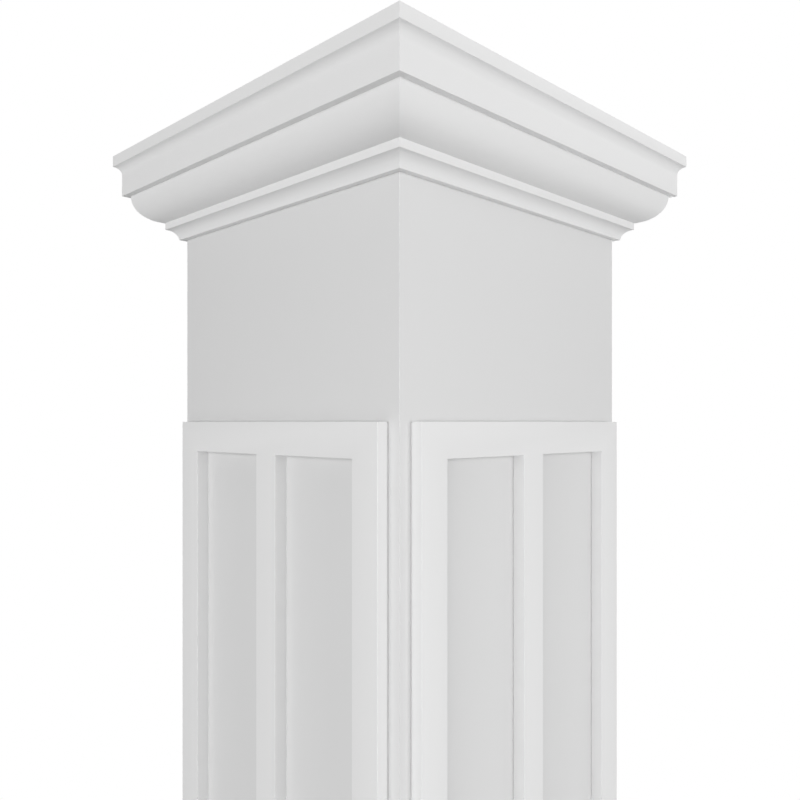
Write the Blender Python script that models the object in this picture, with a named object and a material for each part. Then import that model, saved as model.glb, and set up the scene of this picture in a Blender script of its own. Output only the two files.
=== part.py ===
# Square column cover: four mitred boards, a crown capital, four fretwork panels and a plain base.
# Metres, +Z up. The origin is the middle of the underside, and the column stands on it.
import math

import bmesh
import bpy

# Whole column
COLUMN_HEIGHT = 2.4384
SHAFT_WIDTH = 0.254
BOARD_THICKNESS = 0.0127

# Clearance between pieces that touch
PIECE_GAP = 0.0003

# Capital moulding: heights from its top edge down, depths from the shaft outwards
TOP_FILLET_HEIGHT = 0.009
TOP_COVE_HEIGHT = 0.0074
FASCIA_HEIGHT = 0.0174
OVOLO_HEIGHT = 0.0227
LOWER_FILLET_HEIGHT = 0.0057
LOWER_COVE_HEIGHT = 0.0087
BOTTOM_EDGE_DEPTH = 0.0048
LOWER_COVE_DEPTH = 0.0083
OVOLO_DEPTH = 0.0207
FASCIA_OVERHANG = 0.0052
TOP_COVE_DEPTH = 0.00545

# How far each curve rises from its chord, as a share of the chord
LOWER_COVE_RISE = 0.175
OVOLO_RISE = 0.19
TOP_COVE_RISE = 0.175

# Plain shaft above and below the fretwork
NECK_HEIGHT = 0.1536
FOOT_HEIGHT = 0.1536

# Fretwork panel
PANEL_MARGIN = 0.009525
PANEL_THICKNESS = 0.009525
STILE_WIDTH = 0.0237
MULLION_WIDTH = 0.0232
TOP_RAIL_HEIGHT = 0.0237
BOTTOM_RAIL_HEIGHT = 0.0237

# Base moulding: heights from the floor up, depths from the shaft outwards
PLINTH_HEIGHT = 0.1397
BASE_OVOLO_HEIGHT = 0.0165
BASE_FILLET_HEIGHT = 0.0062
BASE_FILLET_DEPTH = 0.01295
BASE_OVOLO_DEPTH = 0.0135
PLINTH_LEDGE = 0.0053

# Straight steps that stand for one curve of a moulding
CURVE_STEPS = 12

# The four faces, each with its turn from the front in degrees
FACES = {"front": 0, "right": 90, "back": 180, "left": 270}

# Sizes that follow from the ones above
HALF_SHAFT = SHAFT_WIDTH / 2
APPLIED_BACK = HALF_SHAFT + PIECE_GAP
MITRE_SETBACK = PIECE_GAP / math.sqrt(2)


def clear_scene():
    for item in list(bpy.data.objects):
        bpy.data.objects.remove(item, do_unlink=True)


def make_material(name, colour, roughness):
    material = bpy.data.materials.new(name)
    material.use_nodes = True
    shader = material.node_tree.nodes["Principled BSDF"]
    shader.inputs["Base Color"].default_value = (*colour, 1.0)
    shader.inputs["Roughness"].default_value = roughness
    shader.inputs["Metallic"].default_value = 0.0
    return material


# Points are (distance from the column's axis, height)
def curve_to(start, end, rise):
    """The points after start on an arc to end, which rises to the left of its chord."""
    along = (end[0] - start[0], end[1] - start[1])
    chord = math.hypot(*along)
    height = rise * chord
    radius = (chord * chord / 4 + height * height) / (2 * abs(height))
    left = (-along[1] / chord, along[0] / chord)
    reach = math.copysign(radius - abs(height), height)
    centre = [(a + b) / 2 - reach * side for a, b, side in zip(start, end, left)]
    first = math.atan2(start[1] - centre[1], start[0] - centre[0])
    sweep = -2 * math.asin(min(1.0, chord / (2 * radius))) * math.copysign(1, height)
    points = []
    for step in range(1, CURVE_STEPS):
        angle = first + sweep * step / CURVE_STEPS
        points.append((centre[0] + radius * math.cos(angle), centre[1] + radius * math.sin(angle)))
    return points + [end]


def capital_outline():
    edge = HALF_SHAFT + BOTTOM_EDGE_DEPTH
    lower_fillet = edge + LOWER_COVE_DEPTH
    ovolo = lower_fillet + OVOLO_DEPTH
    fascia = ovolo + FASCIA_OVERHANG
    top_fillet = fascia + TOP_COVE_DEPTH
    cove_top = COLUMN_HEIGHT - TOP_FILLET_HEIGHT
    fascia_top = cove_top - TOP_COVE_HEIGHT
    soffit = fascia_top - FASCIA_HEIGHT
    ovolo_foot = soffit - OVOLO_HEIGHT
    fillet_foot = ovolo_foot - LOWER_FILLET_HEIGHT
    bottom = fillet_foot - LOWER_COVE_HEIGHT
    points = [(APPLIED_BACK, COLUMN_HEIGHT), (top_fillet, COLUMN_HEIGHT), (top_fillet, cove_top)]
    points += curve_to((top_fillet, cove_top), (fascia, fascia_top), -TOP_COVE_RISE)
    points += [(fascia, soffit), (ovolo, soffit)]
    points += curve_to((ovolo, soffit), (lower_fillet, ovolo_foot), OVOLO_RISE)
    points += [(lower_fillet, fillet_foot)]
    points += curve_to((lower_fillet, fillet_foot), (edge, bottom), -LOWER_COVE_RISE)
    return points + [(APPLIED_BACK, bottom)]


def base_outline():
    fillet = HALF_SHAFT + BASE_FILLET_DEPTH
    ovolo = fillet + BASE_OVOLO_DEPTH
    plinth = ovolo + PLINTH_LEDGE
    ovolo_top = PLINTH_HEIGHT + BASE_OVOLO_HEIGHT
    top = ovolo_top + BASE_FILLET_HEIGHT
    points = [(APPLIED_BACK, 0), (plinth, 0), (plinth, PLINTH_HEIGHT), (ovolo, PLINTH_HEIGHT)]
    points += curve_to((ovolo, PLINTH_HEIGHT), (fillet, ovolo_top), -OVOLO_RISE)
    return points + [(fillet, top), (APPLIED_BACK, top)]


def board_outline():
    inner = HALF_SHAFT - BOARD_THICKNESS
    return [(inner, 0), (HALF_SHAFT, 0), (HALF_SHAFT, COLUMN_HEIGHT), (inner, COLUMN_HEIGHT)]


def outline_heights(outline):
    heights = [point[1] for point in outline]
    return min(heights), max(heights)


def finish_mesh(name, shape):
    bmesh.ops.recalc_face_normals(shape, faces=shape.faces)
    mesh = bpy.data.meshes.new(name)
    shape.to_mesh(mesh)
    shape.free()
    return mesh


def mitred_mesh(name, outline):
    """One length of the outline along the front face, cut at 45 degrees at both ends."""
    shape = bmesh.new()
    ends = []
    for way in (-1, 1):
        ring = []
        for distance, height in outline:
            reach = distance - MITRE_SETBACK
            ring.append(shape.verts.new((way * reach, -distance, height)))
        ends.append(ring)
        shape.faces.new(ring)
    left, right = ends
    for index in range(len(outline)):
        after = (index + 1) % len(outline)
        shape.faces.new((left[index], right[index], right[after], left[after]))
    return finish_mesh(name, shape)


def panel_mesh(name, bottom, top):
    """The fretwork frame with one mullion, cut from one sheet, flat on the front face."""
    half_width = HALF_SHAFT - PANEL_MARGIN
    across = [-half_width, STILE_WIDTH - half_width, -MULLION_WIDTH / 2]
    across += [-value for value in reversed(across)]
    up = [bottom, bottom + BOTTOM_RAIL_HEIGHT, top - TOP_RAIL_HEIGHT, top]
    shape = bmesh.new()
    grid = [[shape.verts.new((x, -APPLIED_BACK, z)) for x in across] for z in up]
    for row in range(len(up) - 1):
        for column in range(len(across) - 1):
            is_slot = row == 1 and column in (1, 3)
            if not is_slot:
                corners = (grid[row][column], grid[row][column + 1])
                corners += (grid[row + 1][column + 1], grid[row + 1][column])
                shape.faces.new(corners)
    sheet = bmesh.ops.extrude_face_region(shape, geom=shape.faces[:])
    moved = [item for item in sheet["geom"] if isinstance(item, bmesh.types.BMVert)]
    bmesh.ops.translate(shape, verts=moved, vec=(0, -PANEL_THICKNESS, 0))
    return finish_mesh(name, shape)


def place_on_faces(name, mesh, material, axis):
    mesh.materials.append(material)
    for face, turn in FACES.items():
        piece = bpy.data.objects.new(f"{name}_{face}", mesh)
        piece.rotation_euler = (0, 0, math.radians(turn))
        piece.parent = axis
        bpy.context.scene.collection.objects.link(piece)


def main():
    clear_scene()
    axis = bpy.data.objects.new("column_axis", None)
    bpy.context.scene.collection.objects.link(axis)

    shaft_white = make_material("shaft_white", (0.72, 0.72, 0.715), 0.5)
    capital_white = make_material("capital_white", (0.82, 0.82, 0.815), 0.45)
    panel_white = make_material("panel_white", (0.82, 0.82, 0.815), 0.5)
    base_white = make_material("base_white", (0.8, 0.8, 0.795), 0.5)

    capital = capital_outline()
    base = base_outline()
    panel_top = outline_heights(capital)[0] - NECK_HEIGHT
    panel_bottom = outline_heights(base)[1] + FOOT_HEIGHT

    place_on_faces("shaft_board", mitred_mesh("shaft_board", board_outline()), shaft_white, axis)
    place_on_faces("capital_length", mitred_mesh("capital_length", capital), capital_white, axis)
    panel = panel_mesh("fretwork_panel", panel_bottom, panel_top)
    place_on_faces("fretwork_panel", panel, panel_white, axis)
    place_on_faces("base_length", mitred_mesh("base_length", base), base_white, axis)


main()
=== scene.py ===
import math

import bmesh
import bpy
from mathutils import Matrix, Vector


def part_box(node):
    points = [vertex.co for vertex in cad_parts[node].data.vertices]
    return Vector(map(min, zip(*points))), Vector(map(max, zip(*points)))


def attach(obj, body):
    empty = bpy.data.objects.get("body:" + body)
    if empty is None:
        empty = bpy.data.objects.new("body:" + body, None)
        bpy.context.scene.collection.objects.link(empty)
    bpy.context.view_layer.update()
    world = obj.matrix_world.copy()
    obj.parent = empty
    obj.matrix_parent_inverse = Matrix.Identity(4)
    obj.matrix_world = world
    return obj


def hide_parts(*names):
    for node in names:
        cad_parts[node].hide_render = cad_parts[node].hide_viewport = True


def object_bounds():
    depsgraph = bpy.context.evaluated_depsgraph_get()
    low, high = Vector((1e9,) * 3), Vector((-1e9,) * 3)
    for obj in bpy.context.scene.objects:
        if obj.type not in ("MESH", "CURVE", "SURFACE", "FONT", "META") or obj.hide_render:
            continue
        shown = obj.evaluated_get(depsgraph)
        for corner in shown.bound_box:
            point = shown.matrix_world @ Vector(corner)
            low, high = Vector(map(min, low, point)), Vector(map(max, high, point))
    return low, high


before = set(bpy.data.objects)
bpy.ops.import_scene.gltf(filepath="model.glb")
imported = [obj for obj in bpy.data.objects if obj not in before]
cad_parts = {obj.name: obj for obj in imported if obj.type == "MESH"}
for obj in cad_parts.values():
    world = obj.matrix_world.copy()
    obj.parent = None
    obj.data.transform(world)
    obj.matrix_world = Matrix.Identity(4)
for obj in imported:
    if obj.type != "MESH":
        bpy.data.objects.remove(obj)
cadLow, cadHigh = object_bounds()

# Metres, z up, the column's axis on the origin. The front face looks along -y.
faceTurns = {"front": 0, "right": 90, "back": 180, "left": 270}

# Half the width of a glued mitre, and the air behind the mouldings that are applied to the shaft
joints = {"mitreHalf": 0.00002, "glueLine": 0.00003}
mitreSetback = joints["mitreHalf"] * math.sqrt(2)

easeSteps = 4  # straight steps in one softened arris
curveSteps = 28  # straight steps in one curve of a moulding

# Colours painted on the faces, which the finish reads as the way each was worked
sawnMark, easedMark, plainMark = (0, 1, 0, 1), (1, 0, 0, 1), (0, 0, 0, 1)


# Outlines are lists of (distance from the axis, height).
# Points after start on an arc to end. A positive rise swells to the left of the chord.
def arcTo(start, end, rise):
    acrossX, acrossZ = end[0] - start[0], end[1] - start[1]
    chord = math.hypot(acrossX, acrossZ)
    height = rise * chord
    radius = (chord * chord / 4 + height * height) / (2 * abs(height))
    side = math.copysign(1, height)
    reach = side * (radius - abs(height))
    centreX = (start[0] + end[0]) / 2 + reach * acrossZ / chord
    centreZ = (start[1] + end[1]) / 2 - reach * acrossX / chord
    first = math.atan2(start[1] - centreZ, start[0] - centreX)
    sweep = -2 * side * math.asin(chord / (2 * radius))
    points = []
    for step in range(1, curveSteps):
        angle = first + sweep * step / curveSteps
        points.append((centreX + radius * math.cos(angle), centreZ + radius * math.sin(angle)))
    return points + [end]


# Rounds each real corner of a closed outline, within a share of the sides that meet there.
# Gives (point, whether the stretch after it is eased).
def easeCorners(outline, radius, leastTurn=25, shareOfSide=0.4):
    eased = []
    count = len(outline)
    for index, corner in enumerate(outline):
        before = Vector(outline[index - 1]) - Vector(corner)
        after = Vector(outline[(index + 1) % count]) - Vector(corner)
        turn = math.pi - before.angle(after)
        if math.degrees(turn) < leastTurn:
            eased.append((corner, False))
            continue
        shorter = min(before.length, after.length)
        cut = min(radius * math.tan(turn / 2), shorter * shareOfSide)
        arcStart = Vector(corner) + before.normalized() * cut
        arcEnd = Vector(corner) + after.normalized() * cut
        for step in range(easeSteps + 1):
            part = step / easeSteps
            nearStart = arcStart.lerp(Vector(corner), part)
            nearEnd = Vector(corner).lerp(arcEnd, part)
            eased.append((tuple(nearStart.lerp(nearEnd, part)), step < easeSteps))
    return eased


def finishMesh(name, shape, sharpAngle=28):
    bmesh.ops.recalc_face_normals(shape, faces=shape.faces)
    mesh = bpy.data.meshes.new(name)
    shape.to_mesh(mesh)
    shape.free()
    mesh.shade_smooth()
    mesh.set_sharp_from_angle(angle=math.radians(sharpAngle))
    return mesh


def paintFace(face, layer, mark):
    for loop in face.loops:
        loop[layer] = mark


# One moulding length along the front face, sawn at both ends
def mitredMesh(name, outline, easeRadius):
    shape = bmesh.new()
    marks = shape.loops.layers.float_color.new("marks")
    eased = easeCorners(outline, easeRadius)
    ends = []
    for way in (-1, 1):
        ring = []
        for (distance, height), _ in eased:
            reach = distance - mitreSetback
            ring.append(shape.verts.new((way * reach, -distance, height)))
        ends.append(ring)
        paintFace(shape.faces.new(ring), marks, sawnMark)
    left, right = ends
    for index in range(len(eased)):
        after = (index + 1) % len(eased)
        face = shape.faces.new((left[index], right[index], right[after], left[after]))
        paintFace(face, marks, easedMark if eased[index][1] else plainMark)
    return finishMesh(name, shape)


# Sets the same piece on all four faces, each in the place of its CAD node.
def fitOnFaces(name, node, mesh, material):
    mesh.materials.append(material)
    for face, turn in faceTurns.items():
        piece = bpy.data.objects.new(f"{name}_{face}", mesh)
        piece.rotation_euler = (0, 0, math.radians(turn))
        bpy.context.scene.collection.objects.link(piece)
        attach(piece, "root")
        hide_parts(f"{node}_{face}")


# What every finish shares. Sizes are metres, and shifts of roughness are added or taken away.
plastic = {
    "sawnRougher": 0.18,
    "easedSmoother": 0.06,
    "poreSize": 0.0005,
    "poreEdge": 0.45,  # share of a cell where a pore's wall levels off
    "broadPeel": 0.12,  # scale of the broad peel against the fine one
    "bumpHeight": 0.0002,
    "driftDetail": 3.0,
    "finePeelDetail": 2.0,
    "broadPeelDetail": 1.0,
}


# A shader group whose sockets are all plain numbers
def makeGroup(name, inputs, outputs):
    group = bpy.data.node_groups.new(name, "ShaderNodeTree")
    for label in inputs:
        group.interface.new_socket(label, in_out="INPUT", socket_type="NodeSocketFloat")
    for label in outputs:
        group.interface.new_socket(label, in_out="OUTPUT", socket_type="NodeSocketFloat")
    return group, group.nodes.new("NodeGroupInput"), group.nodes.new("NodeGroupOutput")


def addNode(tree, kind, **settings):
    node = tree.nodes.new(kind)
    for key, value in settings.items():
        setattr(node, key, value)
    return node


def addMath(tree, operation, first, second):
    node = addNode(tree, "ShaderNodeMath", operation=operation)
    for socket, value in zip(node.inputs, (first, second)):
        if isinstance(value, (int, float)):
            socket.default_value = value
        else:
            tree.links.new(value, socket)
    return node.outputs[0]


# Of a colour mix's sockets, 0 is the factor, and 6 and 7 are the two colours
def addMix(tree, factor, first, second):
    node = addNode(tree, "ShaderNodeMix", data_type="RGBA")
    for socket, value in zip((node.inputs[0], node.inputs[6], node.inputs[7]), (factor, first, second)):
        if isinstance(value, (tuple, float)):
            socket.default_value = value
        else:
            tree.links.new(value, socket)
    return node.outputs[2]


# Slow, faint drift of tone in extruded sheet, as a value about nought
def makeToneGroup():
    group, entry, leave = makeGroup("sheetTone", ["Patch Size", "Amount"], ["Drift"])
    place = addNode(group, "ShaderNodeTexCoord")
    noise = addNode(group, "ShaderNodeTexNoise")
    noise.inputs["Detail"].default_value = plastic["driftDetail"]
    group.links.new(place.outputs["Object"], noise.inputs["Vector"])
    group.links.new(addMath(group, "DIVIDE", 1.0, entry.outputs["Patch Size"]), noise.inputs["Scale"])
    centred = addMath(group, "SUBTRACT", noise.outputs["Fac"], 0.5)
    group.links.new(addMath(group, "MULTIPLY", centred, entry.outputs["Amount"]), leave.inputs["Drift"])
    return group


# The fine orange peel of a calendered skin, as a height and a shift of roughness
def makeSkinGroup():
    group, entry, leave = makeGroup("sheetSkin", ["Peel Size"], ["Height", "Rough"])
    place = addNode(group, "ShaderNodeTexCoord")
    fine = addNode(group, "ShaderNodeTexNoise")
    fine.inputs["Detail"].default_value = plastic["finePeelDetail"]
    broad = addNode(group, "ShaderNodeTexNoise")
    broad.inputs["Detail"].default_value = plastic["broadPeelDetail"]
    group.links.new(place.outputs["Object"], fine.inputs["Vector"])
    group.links.new(place.outputs["Object"], broad.inputs["Vector"])
    scale = addMath(group, "DIVIDE", 1.0, entry.outputs["Peel Size"])
    group.links.new(scale, fine.inputs["Scale"])
    group.links.new(addMath(group, "MULTIPLY", scale, plastic["broadPeel"]), broad.inputs["Scale"])
    both = addMath(group, "ADD", fine.outputs["Fac"], broad.outputs["Fac"])
    group.links.new(both, leave.inputs["Height"])
    group.links.new(addMath(group, "SUBTRACT", broad.outputs["Fac"], 0.5), leave.inputs["Rough"])
    return group


# Where a piece is eased or sawn, from the colours painted on its faces
def makeMarksGroup():
    group, _, leave = makeGroup("workedFaces", [], ["Eased", "Sawn"])
    marks = addNode(group, "ShaderNodeVertexColor", layer_name="marks")
    split = addNode(group, "ShaderNodeSeparateColor")
    group.links.new(marks.outputs["Color"], split.inputs[0])
    group.links.new(split.outputs[0], leave.inputs["Eased"])
    group.links.new(split.outputs[1], leave.inputs["Sawn"])
    return group


# The pores of foamed plastic where a saw or router opened it, as a height
def makeFoamGroup():
    group, entry, leave = makeGroup("sawnFoam", ["Pore Size"], ["Height"])
    place = addNode(group, "ShaderNodeTexCoord")
    cells = addNode(group, "ShaderNodeTexVoronoi")
    group.links.new(place.outputs["Object"], cells.inputs["Vector"])
    group.links.new(addMath(group, "DIVIDE", 1.0, entry.outputs["Pore Size"]), cells.inputs["Scale"])
    pores = addMath(group, "MINIMUM", cells.outputs["Distance"], plastic["poreEdge"])
    group.links.new(pores, leave.inputs["Height"])
    return group


toneGroup = makeToneGroup()
skinGroup = makeSkinGroup()
marksGroup = makeMarksGroup()
foamGroup = makeFoamGroup()


def placeGroup(tree, group, **values):
    node = addNode(tree, "ShaderNodeGroup", node_tree=group)
    for label, value in values.items():
        node.inputs[label.replace("_", " ")].default_value = value
    return node


# White foamed plastic: skin, drift of tone, softened arrises and sawn faces
def makePlastic(name, look):
    material = bpy.data.materials.new(name)
    material.use_nodes = True
    tree = material.node_tree
    shader = tree.nodes["Principled BSDF"]
    shader.inputs["Specular IOR Level"].default_value = look["specular"]
    tone = placeGroup(tree, toneGroup, Patch_Size=look["patchSize"], Amount=look["drift"])
    skin = placeGroup(tree, skinGroup, Peel_Size=look["peelSize"])
    marks = placeGroup(tree, marksGroup)
    foam = placeGroup(tree, foamGroup, Pore_Size=plastic["poreSize"])

    sawn = tuple(part * look["sawnShade"] for part in look["colour"])
    colour = addMix(tree, marks.outputs["Sawn"], (*look["colour"], 1.0), (*sawn, 1.0))
    shade = addNode(tree, "ShaderNodeHueSaturation")
    tree.links.new(addMath(tree, "ADD", tone.outputs["Drift"], 1.0), shade.inputs["Value"])
    tree.links.new(colour, shade.inputs["Color"])
    tree.links.new(shade.outputs[0], shader.inputs["Base Color"])

    rough = addMath(tree, "MULTIPLY_ADD", skin.outputs["Rough"], look["roughDrift"])
    rough.node.inputs[2].default_value = look["roughness"]
    rougher = addMath(tree, "MULTIPLY", marks.outputs["Sawn"], plastic["sawnRougher"])
    smoother = addMath(tree, "MULTIPLY", marks.outputs["Eased"], plastic["easedSmoother"])
    rough = addMath(tree, "SUBTRACT", addMath(tree, "ADD", rough, rougher), smoother)
    tree.links.new(rough, shader.inputs["Roughness"])

    foamHeight = addMath(tree, "MULTIPLY", foam.outputs["Height"], marks.outputs["Sawn"])
    height = addMath(tree, "MULTIPLY_ADD", foamHeight, look["poreDepth"])
    tree.links.new(skin.outputs["Height"], height.node.inputs[2])
    bump = addNode(tree, "ShaderNodeBump")
    bump.inputs["Strength"].default_value = look["bump"]
    bump.inputs["Distance"].default_value = plastic["bumpHeight"]
    tree.links.new(height, bump.inputs["Height"])
    tree.links.new(bump.outputs[0], shader.inputs["Normal"])
    return material


# Shaft: four boards, mitred along both long edges
shaft = {
    "easeRadius": 0.0003,
    "thickness": 0.0127,
    "look": {
        "colour": (0.72, 0.72, 0.72), "roughness": 0.5, "specular": 0.4, "drift": 0.012, "patchSize": 0.35,
        "peelSize": 0.0016, "roughDrift": 0.12, "sawnShade": 0.97, "poreDepth": 2.0, "bump": 0.08,
    },
}


# The plan of one board runs from its back along one mitre, its face, and back along the other
def boardMesh():
    low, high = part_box("shaft_board_front")
    face = -low.y
    back = face - shaft["thickness"]
    radius = shaft["easeRadius"]
    corner = []
    for step in range(easeSteps + 1):
        angle = math.radians(90 - 45 * step / easeSteps)
        across = face - radius + radius * math.cos(angle)
        corner.append((across, face - radius + radius * math.sin(angle)))
    plan = [(back, back)] + list(reversed(corner))
    plan = [(across - mitreSetback, out) for across, out in plan]
    plan += [(-across, out) for across, out in reversed(plan)]
    shape = bmesh.new()
    marks = shape.loops.layers.float_color.new("marks")
    rings = []
    for height in (low.z, high.z):
        ring = [shape.verts.new((across, -out, height)) for across, out in plan]
        rings.append(ring)
        paintFace(shape.faces.new(ring), marks, sawnMark)
    bottom, top = rings
    for index in range(len(plan)):
        after = (index + 1) % len(plan)
        quad = shape.faces.new((bottom[index], bottom[after], top[after], top[index]))
        isArris = index in range(1, easeSteps + 1) or index in range(easeSteps + 2, 2 * easeSteps + 2)
        isMitre = index in (0, len(plan) - 2)
        paintFace(quad, marks, easedMark if isArris else sawnMark if isMitre else plainMark)
    return finishMesh("shaftBoard", shape)


fitOnFaces("shaftBoard", "shaft_board", boardMesh(), makePlastic("shaftPlastic", shaft["look"]))
print("shaft boards done")


# Capital: four mitred lengths of crown moulding. Heights run down from its top, depths out from the shaft.
capital = {
    "topFilletHigh": 0.009,
    "topCoveHigh": 0.0074,
    "fasciaHigh": 0.0174,
    "ovoloHigh": 0.0227,
    "lowerFilletHigh": 0.0057,
    "lowerCoveHigh": 0.0087,
    "edgeOut": 0.0048,
    "lowerCoveOut": 0.0083,
    "ovoloOut": 0.0207,
    "fasciaOut": 0.0052,
    "topCoveOut": 0.00545,
    "lowerCoveRise": 0.175,
    "ovoloRise": 0.19,
    "topCoveRise": 0.175,
    "easeRadius": 0.0002,
    "look": {
        "colour": (0.8, 0.8, 0.8), "roughness": 0.42, "specular": 0.45, "drift": 0.008, "patchSize": 0.2,
        "peelSize": 0.0014, "roughDrift": 0.1, "sawnShade": 0.97, "poreDepth": 2.0, "bump": 0.06,
    },
}


def capitalOutline():
    half = -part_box("shaft_board_front")[0].y
    back = half + joints["glueLine"]
    edge = half + capital["edgeOut"]
    lowerFillet = edge + capital["lowerCoveOut"]
    ovolo = lowerFillet + capital["ovoloOut"]
    fascia = ovolo + capital["fasciaOut"]
    topFillet = fascia + capital["topCoveOut"]
    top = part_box("capital_length_front")[1].z
    coveTop = top - capital["topFilletHigh"]
    fasciaTop = coveTop - capital["topCoveHigh"]
    soffit = fasciaTop - capital["fasciaHigh"]
    ovoloFoot = soffit - capital["ovoloHigh"]
    filletFoot = ovoloFoot - capital["lowerFilletHigh"]
    bottom = filletFoot - capital["lowerCoveHigh"]
    outline = [(back, top), (topFillet, top), (topFillet, coveTop)]
    outline += arcTo((topFillet, coveTop), (fascia, fasciaTop), -capital["topCoveRise"])
    outline += [(fascia, soffit), (ovolo, soffit)]
    outline += arcTo((ovolo, soffit), (lowerFillet, ovoloFoot), capital["ovoloRise"])
    outline += [(lowerFillet, filletFoot)]
    outline += arcTo((lowerFillet, filletFoot), (edge, bottom), -capital["lowerCoveRise"])
    return outline + [(back, bottom)]


capitalMesh = mitredMesh("capitalLength", capitalOutline(), capital["easeRadius"])
capitalPlastic = makePlastic("capitalPlastic", capital["look"])
fitOnFaces("capitalLength", "capital_length", capitalMesh, capitalPlastic)
print("capital done")


# Fretwork: one sheet on each face, with two tall slots either side of a centre bar
fretwork = {
    "stileWide": 0.0237,
    "mullionWide": 0.0232,
    "railHigh": 0.0237,
    "easeRadius": 0.0003,
    # Back arrises cut back all round the outside, and on the right side of each slot: height, depth.
    # They leave a shadow line along the shaft.
    "outerRelief": (0.0015, 0.0007),
    "slotRelief": (0.0005, 0.00034),
    "look": {
        "colour": (0.8, 0.8, 0.8), "roughness": 0.46, "specular": 0.42, "drift": 0.01, "patchSize": 0.25,
        "peelSize": 0.0015, "roughDrift": 0.12, "sawnShade": 0.985, "poreDepth": 1.2, "bump": 0.07,
    },
}


def fretworkMesh():
    low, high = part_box("fretwork_panel_front")
    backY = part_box("shaft_board_front")[0].y - joints["glueLine"]
    frontY = low.y
    ease = fretwork["easeRadius"]
    half = high.x
    bar = fretwork["mullionWide"] / 2
    inner = half - fretwork["stileWide"]
    slotLow = low.z + fretwork["railHigh"]
    slotHigh = high.z - fretwork["railHigh"]
    sheet = (-half, half, low.z, high.z)
    slots = ((-inner, -bar, slotLow, slotHigh), (bar, inner, slotLow, slotHigh))

    # Steps of an eased edge, from the sheet's side to its front: how far in, and the depth
    edge = []
    for step in range(easeSteps + 1):
        angle = math.radians(90 * step / easeSteps)
        edge.append((ease - ease * math.cos(angle), frontY + ease - ease * math.sin(angle)))

    shape = bmesh.new()
    marks = shape.loops.layers.float_color.new("marks")

    # Rings of points round a rectangle, joined in turn. The first few stretches are sawn, the rest eased
    def makeRings(rectangle, inward, steps, sawnCount):
        left, right, bottom, top = rectangle
        rings = []
        for offset, depth in steps:
            grow = offset * inward
            corners = ((left + grow, bottom + grow), (right - grow, bottom + grow))
            corners += ((right - grow, top - grow), (left + grow, top - grow))
            rings.append([shape.verts.new((x, depth, z)) for x, z in corners])
        for step in range(len(rings) - 1):
            mark = sawnMark if step < sawnCount else easedMark
            lower, upper = rings[step], rings[step + 1]
            for side in range(4):
                turn = (side + 1) % 4
                quad = (lower[side], lower[turn], upper[turn], upper[side])
                paintFace(shape.faces.new(quad), marks, mark)
        return rings

    def makeOutside():
        tall, deep = fretwork["outerRelief"]
        behind = [(deep, backY), (deep, backY - tall), (0.0, backY - tall)]
        rings = makeRings(sheet, 1, behind + edge, len(behind))
        return rings[0], rings[-1]

    def makeSlot(slot):
        left, right, bottom, top = slot
        tall, deep = fretwork["slotRelief"]
        rings = makeRings(slot, -1, edge, 0)
        front = rings[0]
        corners = ((left, bottom), (right + deep, bottom), (right + deep, top), (left, top))
        back = [shape.verts.new((x, backY, z)) for x, z in corners]
        outerLow, outerTop = [shape.verts.new((right + deep, backY - tall, z)) for z in (bottom, top)]
        innerLow, innerTop = [shape.verts.new((right, backY - tall, z)) for z in (bottom, top)]
        walls = (
            (back[3], back[0], front[0], front[3]),
            (back[0], back[1], outerLow, innerLow, front[1], front[0]),
            (back[2], back[3], front[3], front[2], innerTop, outerTop),
            (back[1], back[2], outerTop, outerLow),
            (outerLow, outerTop, innerTop, innerLow),
            (innerLow, innerTop, front[2], front[1]),
        )
        for wall in walls:
            paintFace(shape.faces.new(wall), marks, sawnMark)
        return back, rings[-1]

    outside = makeOutside()
    slotWalls = [makeSlot(slot) for slot in slots]
    # The back face, then the front
    for layer in (0, 1):
        outer = outside[layer]
        first, second = slotWalls[0][layer], slotWalls[1][layer]
        faces = (
            (outer[3], outer[2], second[2], second[3], first[2], first[3]),
            (outer[0], outer[1], second[1], second[0], first[1], first[0]),
            (outer[0], first[0], first[3], outer[3]),
            (outer[1], second[1], second[2], outer[2]),
            (first[1], second[0], second[3], first[2]),
        )
        for corners in faces:
            paintFace(shape.faces.new(corners), marks, plainMark)
    return finishMesh("fretworkPanel", shape)


fretworkPlastic = makePlastic("fretworkPlastic", fretwork["look"])
fitOnFaces("fretworkPanel", "fretwork_panel", fretworkMesh(), fretworkPlastic)
print("fretwork done")


# Base: four mitred lengths, a plain plinth with an ovolo and a fillet over it
base = {
    "plinthHigh": 0.1397,
    "ovoloHigh": 0.0165,
    "filletHigh": 0.0062,
    "filletOut": 0.01295,
    "ovoloOut": 0.0135,
    "ledgeOut": 0.0053,
    "ovoloRise": 0.19,
    "easeRadius": 0.0006,
    "look": {
        "colour": (0.79, 0.79, 0.79), "roughness": 0.48, "specular": 0.42, "drift": 0.012, "patchSize": 0.25,
        "peelSize": 0.0016, "roughDrift": 0.12, "sawnShade": 0.97, "poreDepth": 2.0, "bump": 0.08,
    },
}


def baseOutline():
    half = -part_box("shaft_board_front")[0].y
    back = half + joints["glueLine"]
    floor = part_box("base_length_front")[0].z
    fillet = half + base["filletOut"]
    ovolo = fillet + base["ovoloOut"]
    plinth = ovolo + base["ledgeOut"]
    plinthTop = floor + base["plinthHigh"]
    ovoloTop = plinthTop + base["ovoloHigh"]
    top = ovoloTop + base["filletHigh"]
    outline = [(back, floor), (plinth, floor), (plinth, plinthTop), (ovolo, plinthTop)]
    outline += arcTo((ovolo, plinthTop), (fillet, ovoloTop), -base["ovoloRise"])
    return outline + [(fillet, top), (back, top)]


baseMesh = mitredMesh("baseLength", baseOutline(), base["easeRadius"])
fitOnFaces("baseLength", "base_length", baseMesh, makePlastic("basePlastic", base["look"]))
print("base done")


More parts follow.
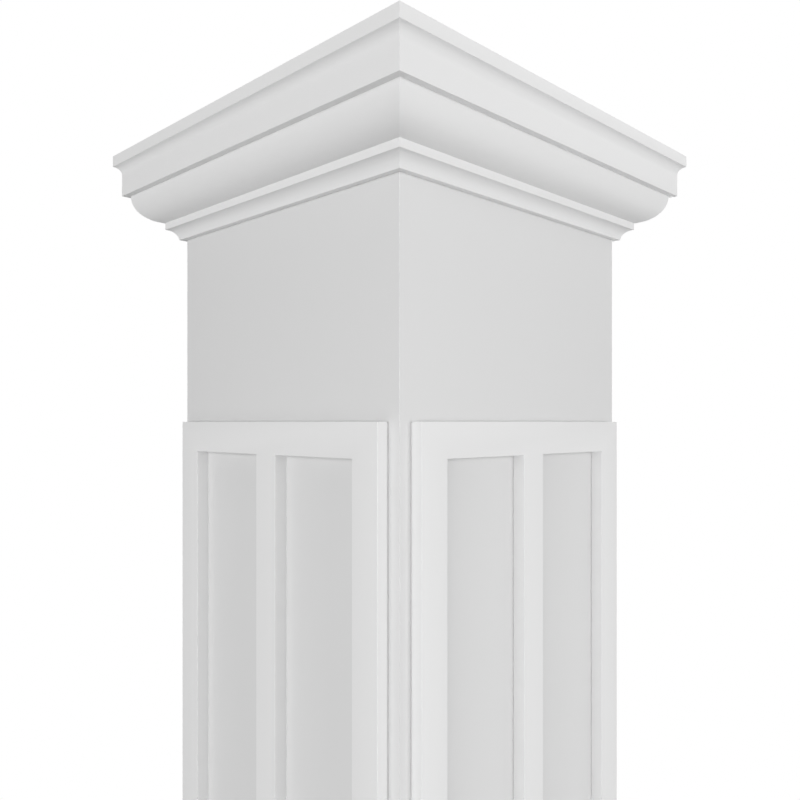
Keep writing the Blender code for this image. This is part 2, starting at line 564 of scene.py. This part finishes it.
# Floor: pale, and fading into the white ground well before the photo's view would meet it
floorPlate = {
    "radius": 3.4,
    "sides": 96,
    "solidTo": 0.35,  # shares of the radius
    "goneBy": 0.98,
    "below": 0.0005,
    "colour": (0.54, 0.54, 0.54),
    "roughness": 0.7,
    "specular": 0.2,
}


def makeFloor():
    shape = bmesh.new()
    bmesh.ops.create_circle(shape, cap_ends=True, segments=floorPlate["sides"], radius=floorPlate["radius"])
    mesh = bpy.data.meshes.new("studioFloor")
    shape.to_mesh(mesh)
    shape.free()
    floor = bpy.data.objects.new("studioFloor", mesh)
    floor.location.z = cadLow.z - floorPlate["below"]
    bpy.context.scene.collection.objects.link(floor)
    material = bpy.data.materials.new("floorPaint")
    material.use_nodes = True
    tree = material.node_tree
    shader = tree.nodes["Principled BSDF"]
    shader.inputs["Roughness"].default_value = floorPlate["roughness"]
    shader.inputs["Specular IOR Level"].default_value = floorPlate["specular"]
    shader.inputs["Base Color"].default_value = (*floorPlate["colour"], 1.0)
    place = addNode(tree, "ShaderNodeTexCoord")
    length = addNode(tree, "ShaderNodeVectorMath", operation="LENGTH")
    fade = addNode(tree, "ShaderNodeMapRange", interpolation_type="SMOOTHSTEP")
    fade.inputs["From Min"].default_value = floorPlate["radius"] * floorPlate["solidTo"]
    fade.inputs["From Max"].default_value = floorPlate["radius"] * floorPlate["goneBy"]
    fade.inputs["To Min"].default_value = 1.0
    fade.inputs["To Max"].default_value = 0.0
    tree.links.new(place.outputs["Object"], length.inputs[0])
    tree.links.new(length.outputs["Value"], fade.inputs["Value"])
    tree.links.new(fade.outputs["Result"], shader.inputs["Alpha"])
    mesh.materials.append(material)


makeFloor()


# Studio: a white surround, and soft boxes round the column. Azimuth 0 is in front, 90 on the right.
studio = {
    "seenWhite": 1.0,  # strength of the white that the camera sees behind the column
    "surround": 0.278,  # strength of the white that lights it
    "aimHeight": 2.1,
    "distance": 3.2,
    "boxes": {
        # name: azimuth, elevation, width, height, watts
        "faceStrip": (0, 12, 2.0, 0.7, 24.9),
        "cornerStrip": (22, 0, 2.0, 0.7, 26.7),
        "sideStrip": (90, 0, 2.0, 0.7, 19.8),
        "highSideStrip": (90, 12, 2.0, 0.7, 23.9),
        "lowFaceBox": (15, -35, 2.0, 2.0, 10.9),
        "lowRearBox": (135, -20, 2.0, 2.0, 9.4),
        "highRearBox": (150, 35, 2.0, 2.0, 12.7),
        "backBox": (215, 10, 2.0, 2.0, 50.0),
        "topBox": (45, 88, 2.4, 2.4, 22.0),
    },
}


def direction(azimuth, elevation):
    turn, rise = math.radians(azimuth), math.radians(elevation)
    return Vector((math.sin(turn) * math.cos(rise), -math.cos(turn) * math.cos(rise), math.sin(rise)))


def makeStudio():
    aim = Vector((0, 0, studio["aimHeight"]))
    for name, (azimuth, elevation, width, height, watts) in studio["boxes"].items():
        light = bpy.data.lights.new(name, "AREA")
        light.shape = "RECTANGLE"
        light.size = width
        light.size_y = height
        light.energy = watts
        lamp = bpy.data.objects.new(name, light)
        away = direction(azimuth, elevation)
        lamp.location = aim + away * studio["distance"]
        lamp.rotation_euler = away.to_track_quat("Z", "Y").to_euler()
        lamp.visible_camera = False
        bpy.context.scene.collection.objects.link(lamp)
    world = bpy.data.worlds.new("whiteSurround")
    bpy.context.scene.world = world
    world.use_nodes = True
    tree = world.node_tree
    seen = tree.nodes["Background"]
    seen.inputs["Strength"].default_value = studio["seenWhite"]
    seen.inputs["Color"].default_value = (1, 1, 1, 1)
    lit = addNode(tree, "ShaderNodeBackground")
    lit.inputs["Strength"].default_value = studio["surround"]
    lit.inputs["Color"].default_value = (1, 1, 1, 1)
    path = addNode(tree, "ShaderNodeLightPath")
    mix = addNode(tree, "ShaderNodeMixShader")
    tree.links.new(path.outputs["Is Camera Ray"], mix.inputs[0])
    tree.links.new(lit.outputs[0], mix.inputs[1])
    tree.links.new(seen.outputs[0], mix.inputs[2])
    tree.links.new(mix.outputs[0], tree.nodes["World Output"].inputs["Surface"])


makeStudio()


# Camera: level, on the diagonal, close to the near corner, as the photo was taken
lens = {
    "focal": 34.91, "fromAxis": 0.6559, "belowTop": 0.2251,
    "shiftX": 0.00044, "shiftY": 0.02825, "azimuth": 45, "sensorWide": 36.0, "nearest": 0.02,
}


def makeCamera():
    data = bpy.data.cameras.new("photoCamera")
    data.lens = lens["focal"]
    data.sensor_width = lens["sensorWide"]
    data.shift_x = lens["shiftX"]
    data.shift_y = lens["shiftY"]
    data.clip_start = lens["nearest"]
    camera = bpy.data.objects.new("photoCamera", data)
    away = direction(lens["azimuth"], 0)
    camera.location = away * lens["fromAxis"]
    camera.location.z = cadHigh.z - lens["belowTop"]
    camera.rotation_euler = away.to_track_quat("Z", "Y").to_euler()
    bpy.context.scene.collection.objects.link(camera)
    bpy.context.scene.camera = camera


makeCamera()
bpy.context.scene.view_settings.view_transform = "Standard"
print("floor, lights and camera done")
